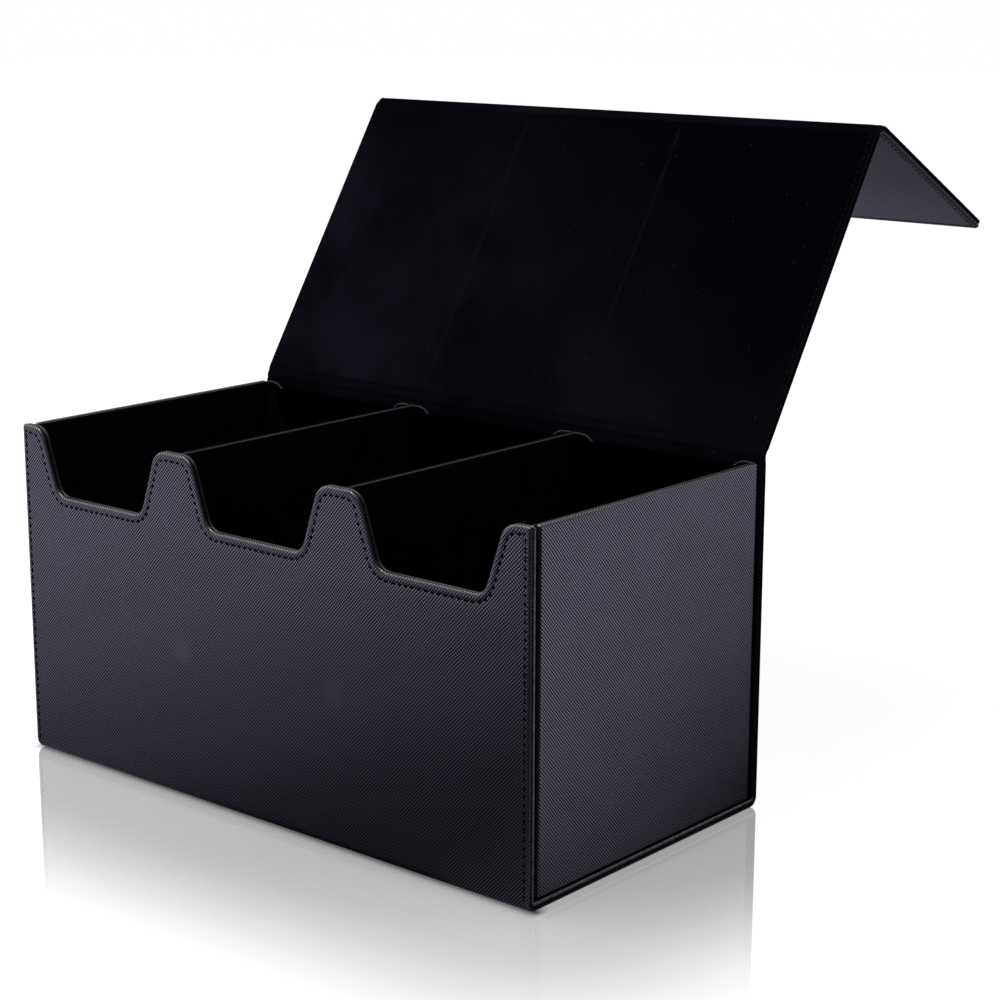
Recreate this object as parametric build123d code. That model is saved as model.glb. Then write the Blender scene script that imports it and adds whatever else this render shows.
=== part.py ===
from build123d import *

import os
from math import atan2, radians, tan

# A box for cards in hard cases: one long leather cover makes the front, bottom, back, lid and flap,
# and two side walls, a rear panel and two dividers stand inside it. Millimetres, X to the right,
# Y to the back, Z up, with the origin on the floor under the middle of the box.

# Overall sizes of the box without its lid
box_width = 290.0
box_depth = 151.8
box_height = 149.8

# Layers of the cover, from the outside in
leather = 0.8
board = 1.6
lining = 1.2

# Folds and edges of the cover
fold_inside_radius = 0.7
edge_round = 1.2
lining_setback = 0.4
lining_bevel = 0.4
front_corner_round = 1.5
flap_corner_round = 3.0

# Rows and the finger cut-outs in the front wall and the rear panel
row_count = 3
row_margin = 2.0
hump_width = 21.5
cutout_depth = 29.5
cutout_taper = 10.0
cutout_floor_round = 7.0
hump_round = 11.0

# Side walls: their leather faces end short of the cover, so a dark channel shows round them
side_inset = 0.3
channel = 2.6
foot_channel = 0.8

# Inner walls
suede = 0.7
suede_bevel = 0.3
wall_drop = 0.4
foot_gap = 0.3
divider_board = 1.6
divider_round = 1.0

# Lid and flap, drawn open as they stand when the cards are being taken out
hinge_gap = 4.0
lid_clearance = 0.3
flap_clearance = 0.4
flap_length = 103.0
lid_open_angle = 122.3
flap_fold_angle = 86.4

# Magnets in the front wall and the flap
magnet_diameter = 12.0
magnet_spacing = 88.0
magnet_inset = 18.5
magnet_clearance = 0.1

# How far cutting shapes run past what they cut
overrun = 12.0

# Angles and a share
right_angle = 90.0
half_turn = 180.0
fillet_limit_share = 0.9

# Sizes that follow from the ones above
tray_depth = leather + board
panel = tray_depth + lining
rear_panel = suede + board
fold_radius = fold_inside_radius + panel
edge_fillet = min(edge_round, fillet_limit_share * tray_depth)
side_face = box_width / 2 - side_inset
inner_half_width = side_face - panel
inner_depth = box_depth - 2 * panel
wall_top = box_height - wall_drop
row_pitch = (box_width - 2 * row_margin) / row_count
divider = divider_board + 2 * suede
lid_slope = half_turn - lid_open_angle
lid_lean = lid_open_angle - right_angle
flap_slope = lid_slope - flap_fold_angle
lid_reach = box_depth + flap_clearance
hinge_height = box_height + lid_clearance + panel / 2
magnet_reach = flap_length - magnet_inset


def direction(slope):
    """A unit vector in the YZ plane, at a slope above the way to the back."""
    return Vector(0, 1, 0).rotate(Axis.X, slope)


def hinged_plane(axis, slope):
    """Outer face of a panel that leaves a hinge axis at a slope: its Y runs away from the hinge."""
    outward = direction(slope - right_angle)
    return Plane(origin=axis + outward * (panel / 2), x_dir=(-1, 0, 0), z_dir=outward)


lid_axis = Vector(0, box_depth / 2 - panel / 2, hinge_height)
flap_axis = lid_axis + direction(lid_slope) * lid_reach
front_plane = Plane(origin=(0, -box_depth / 2, 0), x_dir=(1, 0, 0), z_dir=(0, -1, 0))
back_plane = Plane(origin=(0, box_depth / 2, 0), x_dir=(-1, 0, 0), z_dir=(0, 1, 0))
rear_panel_plane = Plane(
    origin=(0, box_depth / 2 - panel - rear_panel, 0), x_dir=(1, 0, 0), z_dir=(0, -1, 0)
)
lid_plane = hinged_plane(lid_axis, lid_slope)
flap_plane = hinged_plane(flap_axis, flap_slope)


def layer(outline, near, far):
    """The outline between two depths below a panel's outer face, which lies in XY with its outside up."""
    return extrude(Plane.XY.offset(-near) * outline, amount=near - far)


def strip(width, start, end):
    """A rectangle centred on the panel's middle line, between two distances along it."""
    return Pos(0, (start + end) / 2) * Rectangle(width, end - start)


def turned_leather(outline):
    """Leather turned in round the edges of a flat board, with its outer edge rounded, and the board."""
    shell = layer(outline, 0, tray_depth)
    shell = fillet(shell.faces().sort_by(Axis.Z)[-1].edges(), edge_fillet)
    core = layer(offset(outline, -leather), leather, tray_depth)
    return shell - core, core


def lining_sheet(outline):
    """The suede sheet on the inside of a panel, set back from the leather's edge."""
    sheet = layer(offset(outline, -lining_setback), tray_depth, panel)
    return chamfer(sheet.faces().sort_by(Axis.Z)[0].edges(), lining_bevel)


def kept(solid, width, start, end):
    """The stretch of a panel's layer that lies between two distances along the panel."""
    return solid & layer(strip(width + overrun, start, end), -overrun, panel + overrun)


def humped_outline(width, bottom, top):
    """A wall's face with one tapered finger cut-out for each row in its top edge."""
    mouth = row_pitch - hump_width
    corners = [(-width / 2, bottom), (-width / 2, top)]
    for row in range(row_count):
        middle = (row - (row_count - 1) / 2) * row_pitch
        corners += [
            (middle - mouth / 2, top),
            (middle - mouth / 2 + cutout_taper, top - cutout_depth),
            (middle + mouth / 2 - cutout_taper, top - cutout_depth),
            (middle + mouth / 2, top),
        ]
    corners += [(width / 2, top), (width / 2, bottom)]
    face = make_face(Polyline(corners, close=True))
    half_bend = atan2(cutout_depth, cutout_taper) / 2
    hump_fillet = min(hump_round, fillet_limit_share * hump_width / 2 / tan(half_bend))
    face = fillet(face.vertices().group_by(Axis.Y)[1], cutout_floor_round)
    top_corners = face.vertices().group_by(Axis.Y)[-1].sort_by(Axis.X)
    return fillet(top_corners[1:-1], hump_fillet)


def cover_trough(depth, width, gap=0):
    """The room inside the cover's front, bottom and back below a depth, with its two rounded folds."""
    block = Pos(0, 0, depth) * Box(
        width,
        box_depth - 2 * depth,
        box_height + overrun,
        align=(Align.CENTER, Align.CENTER, Align.MIN),
    )
    return fillet(block.edges().filter_by(Axis.X).group_by(Axis.Z)[0], fold_radius - depth + gap)


def below_folds(solid):
    """The part of a trough up to the height where its folds end."""
    return solid & Box(
        box_width + overrun,
        box_depth + overrun,
        fold_radius,
        align=(Align.CENTER, Align.CENTER, Align.MIN),
    )


def standing_inside(solid):
    """An inner wall, cleared at its foot for the rounded folds of the floor's suede."""
    return solid & cover_trough(panel, box_width, foot_gap)


def magnet_places(height):
    """Where the two magnets stand on a panel, at a height along it."""
    return [Pos(side * magnet_spacing / 2, height) for side in (-1, 1)]


def magnet_layer(diameter, height):
    """Discs as thick as the board, at the magnets' places on a panel."""
    discs = [place * Circle(diameter / 2) for place in magnet_places(height)]
    return [layer(disc, leather, tray_depth) for disc in discs]


def front_wall():
    """The front: leather turned in round the cut-outs, a board with two magnets, and a suede sheet."""
    outline = humped_outline(box_width, -overrun, box_height)
    top_corners = outline.vertices().group_by(Axis.Y)[-1].sort_by(Axis.X)
    outline = fillet([top_corners[0], top_corners[-1]], front_corner_round)
    skin, core = turned_leather(outline)
    height = box_height + overrun
    opposite = hinge_height - magnet_reach
    for hole in magnet_layer(magnet_diameter + 2 * magnet_clearance, opposite):
        core -= hole
    magnets = Compound(children=magnet_layer(magnet_diameter, opposite))
    return {
        "front_leather": front_plane * kept(skin, box_width, fold_radius, height),
        "front_board": (front_plane * core) & cover_trough(leather, box_width),
        "front_lining": front_plane * kept(lining_sheet(outline), box_width, fold_radius, height),
        "front_magnets": front_plane * magnets,
    }


def base():
    """The bottom: leather with both folds and turned-in ends, a flat board, and a suede sheet."""
    outside = cover_trough(0, box_width)
    ends = outside.faces().filter_by(Axis.X).edges()
    top = outside.faces().sort_by(Axis.Z)[-1].edges()
    outside = fillet([edge for edge in ends if edge not in top], edge_fillet)
    turned_in = cover_trough(leather, box_width - 2 * leather)
    floor = cover_trough(tray_depth, box_width + overrun)
    flat = Pos(0, 0, leather) * Box(
        box_width - 2 * leather,
        box_depth - 2 * tray_depth,
        board,
        align=(Align.CENTER, Align.CENTER, Align.MIN),
    )
    sheet = cover_trough(tray_depth, box_width - 2 * lining_setback)
    return {
        "base_leather": below_folds(outside - turned_in - floor),
        "base_board": flat & turned_in,
        "base_lining": below_folds(sheet - cover_trough(panel, box_width)),
    }


def back_wall():
    """The back: leather, board and suede up to the bare strip that is the lid's hinge."""
    end = hinge_height - hinge_gap
    outline = strip(box_width, -overrun, end + overrun)
    skin, core = turned_leather(outline)
    standing = back_plane * kept(core, box_width, -overrun, end)
    return {
        "back_leather": back_plane * kept(skin, box_width, fold_radius, end),
        "back_board": standing & cover_trough(leather, box_width),
        "back_lining": back_plane * kept(lining_sheet(outline), box_width, fold_radius, end),
    }


def side_wall(name, side):
    """One side wall: suede that fills the box's end, and a leather-covered board that stands back in it."""
    face = strip(inner_depth - 2 * channel, panel + foot_channel, wall_top)
    sheet = strip(inner_depth, panel, wall_top - lining_setback)
    plane = Plane(origin=(side * side_face, 0, 0), x_dir=(0, side, 0), z_dir=(side, 0, 0))
    skin, core = turned_leather(face)
    return {
        f"{name}_side_leather": plane * skin,
        f"{name}_side_board": plane * core,
        f"{name}_side_lining": standing_inside(plane * layer(sheet, tray_depth, panel)),
    }


def rear_inner_panel():
    """The panel in front of the back wall: a humped board in suede, cut off at the side walls."""
    outline = humped_outline(box_width, -overrun, wall_top)
    outline &= strip(2 * inner_half_width, panel, wall_top)
    wrapped = layer(outline, 0, rear_panel)
    wrapped = chamfer(wrapped.faces().sort_by(Axis.Z)[-1].edges(), suede_bevel)
    core = layer(offset(outline, -suede), suede, rear_panel)
    return {
        "rear_panel_suede": standing_inside(rear_panel_plane * (wrapped - core)),
        "rear_panel_board": standing_inside(rear_panel_plane * core),
    }


def divider_wall(name, side):
    """One fixed divider: a board under a suede sleeve that is folded over its top."""
    start = panel - box_depth / 2
    length = inner_depth - rear_panel
    place = Pos(side * row_pitch / 2, start + length / 2, panel)
    upright = (Align.CENTER, Align.CENTER, Align.MIN)
    sleeve = Box(divider, length, wall_top - panel, align=upright)
    upper = sleeve.edges().filter_by(Axis.Y).group_by(Axis.Z)[-1]
    sleeve = fillet(upper, min(divider_round, fillet_limit_share * divider / 2))
    core = Box(divider_board, length, wall_top - panel - suede, align=upright)
    return {
        f"{name}_divider_sleeve": standing_inside(place * (sleeve - core)),
        f"{name}_divider_board": standing_inside(place * core),
    }


def bent_layer(parent, start, turn, near, far, width):
    """A layer of bare cover that bends outwards through an angle, from a distance along its parent panel."""
    centre_height = hinge_gap / tan(radians(turn) / 2) - panel / 2
    section = Pos(0, -(near + far) / 2) * Rectangle(width, far - near)
    upright = Plane(origin=(0, start, 0), x_dir=(1, 0, 0), z_dir=(0, -1, 0))
    axis = Axis((0, start, centre_height), (1, 0, 0))
    return parent * revolve(upright * section, axis, turn)


def hinge_strips(name, parent, start, turn):
    """The two bare strips of cover at a hinge: leather with turned-in ends, and suede."""
    strip_leather = bent_layer(parent, start, turn, 0, tray_depth, box_width)
    arcs = strip_leather.edges().filter_by(GeomType.CIRCLE).sort_by(lambda edge: edge.radius)
    strip_leather = fillet(arcs[:2], edge_fillet)
    hollow = bent_layer(parent, start, turn, leather, tray_depth, box_width - 2 * leather)
    width = box_width - 2 * lining_setback
    return {
        f"{name}_hinge_leather": strip_leather - hollow,
        f"{name}_hinge_lining": bent_layer(parent, start, turn, tray_depth, panel, width),
    }


def lid():
    """The lid between its two hinges: leather, board and suede."""
    end = lid_reach - hinge_gap
    outline = strip(box_width, hinge_gap - overrun, end + overrun)
    skin, core = turned_leather(outline)
    layers = {"lid_leather": skin, "lid_board": core, "lid_lining": lining_sheet(outline)}
    return {
        node: lid_plane * kept(solid, box_width, hinge_gap, end)
        for node, solid in layers.items()
    }


def flap():
    """The flap: leather with rounded free corners, a board with two magnets, and suede."""
    outline = strip(box_width, hinge_gap - overrun, flap_length)
    outline = fillet(outline.vertices().group_by(Axis.Y)[-1], flap_corner_round)
    skin, core = turned_leather(outline)
    for hole in magnet_layer(magnet_diameter + 2 * magnet_clearance, magnet_reach):
        core -= hole
    layers = {"flap_leather": skin, "flap_board": core, "flap_lining": lining_sheet(outline)}
    pieces = {
        node: flap_plane * kept(solid, box_width, hinge_gap, flap_length + overrun)
        for node, solid in layers.items()
    }
    magnets = Compound(children=magnet_layer(magnet_diameter, magnet_reach))
    pieces["flap_magnets"] = flap_plane * magnets
    return pieces


def assembly():
    """Every piece of the box under its node's name."""
    pieces = front_wall() | base() | back_wall() | rear_inner_panel()
    for name, side in (("left", -1), ("right", 1)):
        pieces |= side_wall(name, side) | divider_wall(name, side)
    back_end = hinge_height - hinge_gap
    lid_end = lid_reach - hinge_gap
    pieces |= hinge_strips("lid", back_plane, back_end, lid_lean)
    pieces |= lid()
    pieces |= hinge_strips("flap", lid_plane, lid_end, flap_fold_angle)
    pieces |= flap()
    return pieces


os.makedirs("parts", exist_ok=True)
for node, piece in assembly().items():
    export_step(piece, f"parts/{node}.step")
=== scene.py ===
import logging
import math
from dataclasses import dataclass, field, replace
from enum import Enum
from typing import Callable, Iterable

import bmesh
import bpy
import numpy as np
from mathutils import Matrix, Vector


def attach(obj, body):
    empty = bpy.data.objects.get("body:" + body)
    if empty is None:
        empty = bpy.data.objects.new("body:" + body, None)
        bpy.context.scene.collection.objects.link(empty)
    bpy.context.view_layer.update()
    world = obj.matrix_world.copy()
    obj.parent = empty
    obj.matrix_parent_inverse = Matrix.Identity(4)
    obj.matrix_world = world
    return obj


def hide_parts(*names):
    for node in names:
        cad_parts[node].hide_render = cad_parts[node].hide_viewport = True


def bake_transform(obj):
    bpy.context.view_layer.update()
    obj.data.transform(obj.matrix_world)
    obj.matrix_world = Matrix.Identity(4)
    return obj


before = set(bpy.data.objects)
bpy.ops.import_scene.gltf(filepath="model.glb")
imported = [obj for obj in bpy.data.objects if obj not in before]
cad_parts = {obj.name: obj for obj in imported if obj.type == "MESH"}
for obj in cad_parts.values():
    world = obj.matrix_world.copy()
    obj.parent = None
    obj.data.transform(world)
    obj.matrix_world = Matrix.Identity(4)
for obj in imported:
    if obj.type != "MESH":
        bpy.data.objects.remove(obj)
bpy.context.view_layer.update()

log = logging.getLogger("card_box")

Array = np.ndarray
Placing = Callable[[Array], Array]
Socket = bpy.types.NodeSocket
Colour = tuple[float, float, float, float]
Spot = tuple[float, float, float]
Flat = tuple[float, float]
Row = tuple[Array | float, float, float]

MM = 0.001
CLOTH_MAP = "cloth"
BAND = "band"
# The edge band is 1 at a turned edge, and goes from CREASE_FROM to CREASE in the crease behind it, where the leather
# gets painted shade; suede gets a painted highlight where the band is high
CREASE = 1.8
CREASE_FROM = 1.1
SHARP_ANGLE = math.radians(42.0)
ARC_STEP = math.radians(9.0)
# MERGE is in metres, HAIR and NO_LIMIT are in millimetres
MERGE = 1e-7
HAIR = 1e-6
NO_LIMIT = 1e6


class Body(Enum):
    """The bodies that pieces ride on."""

    BOX = "box"
    LID = "lid"
    FLAP = "flap"


class Slot(Enum):
    """Names of the record's material slots."""

    LEATHER = "twill_leather"
    SUEDE = "suede"


class Layer(Enum):
    """The two layers of the cover that show."""

    LEATHER = "leather"
    LINING = "lining"


class Face(Enum):
    """The cover's two faces, by the sign of the way out of the cloth along depth."""

    OUTSIDE = -1.0
    INSIDE = 1.0


class Wiring:
    """Short calls that add linked nodes to the node tree of a material or a world."""

    def __init__(self, owner: bpy.types.ID) -> None:
        """Empties the owner's node tree, for new nodes.

        Args:
            owner: A material or a world.
        """
        owner.use_nodes = True
        self.tree = owner.node_tree
        self.tree.nodes.clear()

    def node(self, kind: str, inputs: dict[int | str, object] | None = None, **settings: object) -> bpy.types.Node:
        """Adds a node, sets its own properties and fills its inputs.

        Args:
            kind: The node's type name after ShaderNode.
            inputs: An output to link or a value to set, under the name or number of each input.
            settings: Properties of the node.

        Returns:
            The new node.
        """
        made = self.tree.nodes.new(f"ShaderNode{kind}")
        for name, value in settings.items():
            setattr(made, name, value)
        for name, value in (inputs or {}).items():
            if isinstance(value, Socket):
                self.tree.links.new(value, made.inputs[name])
            else:
                made.inputs[name].default_value = value
        return made

    def math(self, operation: str, *values: object, clamp: bool = False) -> Socket:
        """The result of a Math node, kept between 0 and 1 if clamp is set."""
        return self.node("Math", dict(enumerate(values)), operation=operation, use_clamp=clamp).outputs[0]

    def times(self, product: object, *others: object) -> Socket:
        """The product of several values.

        Args:
            product: The first value.
            others: The values that it is multiplied by in turn.

        Returns:
            The result's socket.
        """
        for other in others:
            product = self.math("MULTIPLY", product, other)
        return product

    def vector(self, operation: str, *values: object) -> Socket:
        """A Vector Math node.

        Args:
            operation: The node's operation.
            values: Its inputs in order.

        Returns:
            The result's socket: a number for a dot product or a length, otherwise a vector.
        """
        made = self.node("VectorMath", dict(enumerate(values)), operation=operation)
        scalar = operation in ("DOT_PRODUCT", "LENGTH", "DISTANCE")
        return made.outputs["Value" if scalar else "Vector"]

    def noise(self, place: Socket, scale: float, detail: float = 3.0, rough: float = 0.5) -> Socket:
        """Noise between 0 and 1 with so many lumps in one unit, and finer layers by detail and roughness."""
        inputs = {"Vector": place, "Scale": scale, "Detail": detail, "Roughness": rough}
        return self.node("TexNoise", inputs).outputs["Fac"]

    def span(self, value: object, low: float, high: float, to_low: object = 0.0, to_high: object = 1.0) -> Socket:
        """Maps the range from low to high smoothly onto the range from to_low to to_high and stops at its ends."""
        inputs = {"Value": value, "From Min": low, "From Max": high, "To Min": to_low, "To Max": to_high}
        return self.node("MapRange", inputs, interpolation_type="SMOOTHSTEP").outputs["Result"]

    def blend(self, share: object, first: object, second: object) -> Socket:
        """Two colours mixed, with so much of the second."""
        return self.node("Mix", {0: share, 6: first, 7: second}, data_type="RGBA", clamp_factor=False).outputs[2]

    def mixed(self, share: object, first: Socket, second: Socket) -> Socket:
        """Two shaders mixed, with so much of the second."""
        return self.node("MixShader", {0: share, 1: first, 2: second}).outputs[0]

    def cloth(self) -> Socket:
        """Coordinates in millimetres on the flat cloth."""
        return self.node("UVMap", uv_map=CLOTH_MAP).outputs["UV"]

    def band(self) -> Socket:
        """How near a point is to the turned edge: from 0 to 1 at the edge, and more in the crease behind it."""
        return self.node("Attribute", attribute_name=BAND).outputs["Fac"]

    def spot(self) -> Socket:
        """Object coordinates in metres."""
        return self.node("TexCoord").outputs["Object"]

    def bump(self, height: Socket, rise_mm: float) -> Socket:
        """A normal from a height, of which 1 stands for so many millimetres."""
        return self.node("Bump", {"Distance": rise_mm * MM, "Height": height}).outputs["Normal"]


def grey(value: float, blue: float = 1.0) -> Colour:
    """A colour that is grey but for its blue share."""
    return (value, value, value * blue, 1.0)


@dataclass(frozen=True)
class Finish:
    """A finish that builds its own node material."""

    name: str

    def material(self) -> bpy.types.Material:
        """The material, made once and then found again by its name.

        Returns:
            The node material.
        """
        found = bpy.data.materials.get(self.name)
        if found is not None:
            return found
        made = bpy.data.materials.new(self.name)
        wiring = Wiring(made)
        shader = wiring.node("BsdfPrincipled", self.paint(wiring))
        wiring.node("OutputMaterial", {"Surface": shader.outputs["BSDF"]})
        return made

    def paint(self, wiring: Wiring) -> dict[str, object]:
        """The inputs of the Principled shader, which each finish gives."""
        raise NotImplementedError


@dataclass(frozen=True)
class TwillLeather(Finish):
    """Faux leather embossed with slanting rows of small ribs; the ribs fade on padded, stretched edges."""

    strong: Flat = (0.655, 0.63)
    weak: Flat = (0.67, -0.615)
    strong_share: float = 0.54
    rib_from: float = -0.05
    rib_to: float = 0.5
    # Painted shade: near-black colour of the rib valleys and of the crease behind a turned edge
    valley_shade: Colour = (0.0008, 0.0008, 0.0012, 1.0)
    crest: Colour = (0.022, 0.022, 0.042, 1.0)
    edge: Colour = (0.012, 0.012, 0.016, 1.0)
    shine_tint: Colour = (0.7, 0.7, 1.0, 1.0)
    sway: float = 0.9
    grain: float = 0.14
    rise: float = 0.2
    presence: float = 1.0
    marks: tuple[Flat, ...] = ()
    mark_inner: float = 4.0
    mark_outer: float = 7.5
    mark_rise: float = 0.4
    mark_weave: float = 0.5

    def paint(self, wiring: Wiring) -> dict[str, object]:
        """Ribs are two crossing cosine waves on the flat cloth; crests are polished and have a lighter colour, and
        valleys are dull and painted near black as painted shade.

        Args:
            wiring: Adds nodes to the material's tree.

        Returns:
            The shader's inputs.
        """
        place, band = wiring.cloth(), wiring.band()
        sway = wiring.times(wiring.noise(place, 0.11, 2.0), self.sway)
        ribs = 0.0
        for count, share in ((self.strong, self.strong_share), (self.weak, 1.0 - self.strong_share)):
            turns = wiring.math("ADD", wiring.vector("DOT_PRODUCT", place, (*count, 0.0)), sway)
            wave = wiring.math("COSINE", wiring.times(turns, math.tau))
            ribs = wiring.math("ADD", ribs, wiring.times(wave, share))
        height = wiring.math("SUBTRACT", wiring.span(ribs, self.rib_from, self.rib_to), 0.5)
        pressed = wiring.span(wiring.noise(place, 0.045, 4.0, 0.6), 0.3, 0.7, 0.75, 1.0)
        shown = wiring.times(wiring.span(band, 0.75, 1.0, 1.0, 0.55), pressed, self.presence)
        grain = wiring.times(wiring.noise(place, 4.0, 2.0), self.grain)
        if self.marks:
            disc = self.pressed_discs(wiring, place)
            shown = wiring.times(shown, wiring.span(disc, 0.0, 1.0, 1.0, self.mark_weave))
            grain = wiring.math("ADD", grain, wiring.times(disc, self.mark_rise))
        relief = wiring.math("ADD", wiring.times(height, shown), 0.5)
        # Painted shade in the crease behind a turned edge: the colour goes to the valley shade and the coat's
        # reflection goes out
        crease = wiring.span(band, CREASE_FROM, CREASE, 1.0, 0.0)
        rub = wiring.times(wiring.span(band, 0.8, 1.0), wiring.span(wiring.noise(place, 0.5), 0.2, 0.8, 0.3, 0.8))
        # Painted shade in the rib valleys against the lighter crest colour, then the worn edge colour where rubbed
        colour = wiring.blend(rub, wiring.blend(relief, self.valley_shade, self.crest), self.edge)
        return {
            "Base Color": wiring.blend(crease, self.valley_shade, colour),
            "Roughness": wiring.span(relief, 0.1, 0.9, 0.55, 0.4),
            "Normal": wiring.bump(wiring.math("ADD", relief, grain), self.rise),
            "Coat Weight": wiring.times(wiring.span(relief, 0.05, 0.95), crease),
            "Coat IOR": 2.8, "Coat Roughness": 0.3, "Specular IOR Level": 0.16, "Specular Tint": self.shine_tint,
        }

    def pressed_discs(self, wiring: Wiring, place: Socket) -> Socket:
        """Faint discs where something round behind the cloth presses through.

        Args:
            wiring: Adds nodes to the material's tree.
            place: Coordinates on the flat cloth.

        Returns:
            How far a point is inside a disc, from 0 to 1.
        """
        inside = 0.0
        for mark in self.marks:
            away = wiring.vector("DISTANCE", place, (*mark, 0.0))
            inside = wiring.math("ADD", inside, wiring.span(away, self.mark_inner, self.mark_outer, 1.0, 0.0))
        return inside


@dataclass(frozen=True)
class BoundEdge(Finish):
    """Smooth painted edge of the lining, with fine scuffs; painted light along the box's two sides and painted shade
    round the cut-outs.
    """

    deep: Colour = grey(0.004, 1.4)
    # Colour of the rub, which is wear, shown at full strength as painted light along the sides
    wear_and_highlight: Colour = (0.018, 0.018, 0.026, 1.0)
    lit_side_from: float = 0.1425
    lit_side_to: float = 0.1435

    def paint(self, wiring: Wiring) -> dict[str, object]:
        """Smooth dark leather with fine grain and a lighter rub, which shows fully only along the box's sides as
        painted light.

        Args:
            wiring: Adds nodes to the material's tree.

        Returns:
            The shader's inputs.
        """
        place = wiring.cloth()
        grain = wiring.noise(place, 3.0)
        rub = wiring.span(wiring.noise(place, 0.35, 4.0), 0.25, 0.75, 0.35, 1.0)
        # Painted light and shade: the rub's colour and shine show fully along the box's sides and a tenth of it round
        # the cut-outs
        across = wiring.math("ABSOLUTE", wiring.vector("DOT_PRODUCT", wiring.spot(), (1.0, 0.0, 0.0)))
        side = wiring.span(across, self.lit_side_from, self.lit_side_to)
        wear_and_highlight = wiring.times(rub, wiring.span(side, 0.0, 1.0, 0.1, 1.0))
        return {
            "Base Color": wiring.blend(wear_and_highlight, self.deep, self.wear_and_highlight),
            "Roughness": wiring.span(grain, 0.2, 0.8, 0.4, 0.55),
            "Normal": wiring.bump(grain, 0.05),
            "Coat Weight": wiring.span(wear_and_highlight, 0.05, 1.0, 0.1, 0.9),
            "Coat IOR": 2.0, "Coat Roughness": 0.45, "Specular IOR Level": 0.3,
        }


@dataclass(frozen=True)
class Suede(Finish):
    """Black suede cloth: short fibres, brushed patches and paler lint; its edges have a painted highlight, and it may
    have a painted light gradient.
    """

    deep: Colour = (0.0008, 0.0007, 0.0018, 1.0)
    brushed: Colour = (0.0042, 0.0039, 0.0068, 1.0)
    # Colour of the painted highlight along the suede's edges
    wear_and_highlight: Colour = (0.07, 0.07, 0.08, 1.0)
    rubbed: Colour = grey(0.0052, 1.2)
    lint: Colour = grey(0.05, 1.1)
    sheen: Colour = (0.8, 0.82, 1.0, 1.0)
    # Way and middle of a painted light gradient; none when the way is zero
    light_way: Flat = (0.0, 0.0)
    light_middle: Flat = (0.0, 0.0)
    rubbed_lines: tuple[float, ...] = ()
    rubbed_from: float = 0.0
    rubbed_to: float = 0.0
    rubbed_start: float = 9.0
    rubbed_end: float = 6.0
    rubbed_inner: float = 0.25
    rubbed_outer: float = 1.5

    def paint(self, wiring: Wiring) -> dict[str, object]:
        """Brushed patches are wide noise under a painted light gradient that grows one way, fibres are fine noise, lint
        is sparse specks.

        Args:
            wiring: Adds nodes to the material's tree.

        Returns:
            The shader's inputs.
        """
        place = wiring.cloth()
        patches = wiring.span(wiring.noise(place, 0.012, 5.0, 0.6), 0.22, 0.72)
        fibres = wiring.noise(place, 2.6, 3.0, 0.7)
        # Painted light: the brushed colour is painted lighter one way across the cloth
        aside = wiring.vector("SUBTRACT", place, (*self.light_middle, 0.0))
        side_light = wiring.span(wiring.vector("DOT_PRODUCT", aside, (*self.light_way, 0.0)), -1.0, 1.0, 0.1, 1.9)
        nap_and_light = wiring.times(patches, wiring.span(fibres, 0.25, 0.75, 0.55, 1.25), side_light)
        colour = wiring.blend(nap_and_light, self.deep, self.brushed)
        if self.rubbed_lines:
            colour = wiring.blend(self.rubs(wiring, place), colour, self.rubbed)
        specks = wiring.span(wiring.noise(place, 0.55, 1.0), 0.755, 0.79, 0.0, 0.3)
        # Painted highlight along the edges, where the band is high
        edge = wiring.times(wiring.span(wiring.band(), 0.5, 1.0), wiring.span(fibres, 0.2, 0.8, 0.5, 1.0))
        return {
            "Base Color": wiring.blend(edge, wiring.blend(specks, colour, self.lint), self.wear_and_highlight),
            "Roughness": wiring.span(fibres, 0.2, 0.8, 0.85, 1.0),
            "Normal": wiring.bump(fibres, 0.12),
            "Sheen Weight": 0.005, "Sheen Roughness": 0.5, "Sheen Tint": self.sheen, "Specular IOR Level": 0.0,
        }

    def rubs(self, wiring: Wiring, place: Socket) -> Socket:
        """Paler lines where inner walls press against the cloth.

        Args:
            wiring: Adds nodes to the material's tree.
            place: Coordinates on the flat cloth.

        Returns:
            How rubbed a point is, from 0 to 1.
        """
        parts = wiring.node("SeparateXYZ", {0: place}).outputs
        starts = wiring.span(parts["Y"], self.rubbed_from, self.rubbed_from + self.rubbed_start)
        ends = wiring.span(parts["Y"], self.rubbed_to - self.rubbed_end, self.rubbed_to, 1.0, 0.0)
        near = 0.0
        for line in self.rubbed_lines:
            away = wiring.math("ABSOLUTE", wiring.math("SUBTRACT", parts["X"], line))
            near = wiring.math("ADD", near, wiring.span(away, self.rubbed_inner, self.rubbed_outer, 1.0, 0.0))
        patchy = wiring.span(wiring.noise(place, 0.06), 0.3, 0.7, 0.25, 0.8)
        return wiring.math("MULTIPLY", wiring.times(near, starts, ends), patchy, clamp=True)


@dataclass(frozen=True)
class Thread(Finish):
    """Black waxed sewing thread with a twist."""

    deep: Colour = grey(0.0003, 1.2)
    crest: Colour = (0.0009, 0.0009, 0.0013, 1.0)
    twist: Spot = (2.4, 2.4, 0.0)

    def paint(self, wiring: Wiring) -> dict[str, object]:
        """Twist is a slanting sine wave along each stitch, with painted shade in its grooves against lighter crests.

        Args:
            wiring: Adds nodes to the material's tree.

        Returns:
            The shader's inputs.
        """
        turns = wiring.vector("DOT_PRODUCT", wiring.cloth(), self.twist)
        lay = wiring.span(wiring.math("SINE", wiring.times(turns, math.tau)), -1.0, 1.0)
        return {
            # Painted shade: the twist's grooves darker than its crests
            "Base Color": wiring.blend(lay, self.deep, self.crest),
            "Roughness": wiring.span(lay, 0.0, 1.0, 0.95, 0.8),
            "Normal": wiring.bump(lay, 0.05),
            "Specular IOR Level": 0.08,
        }


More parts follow.
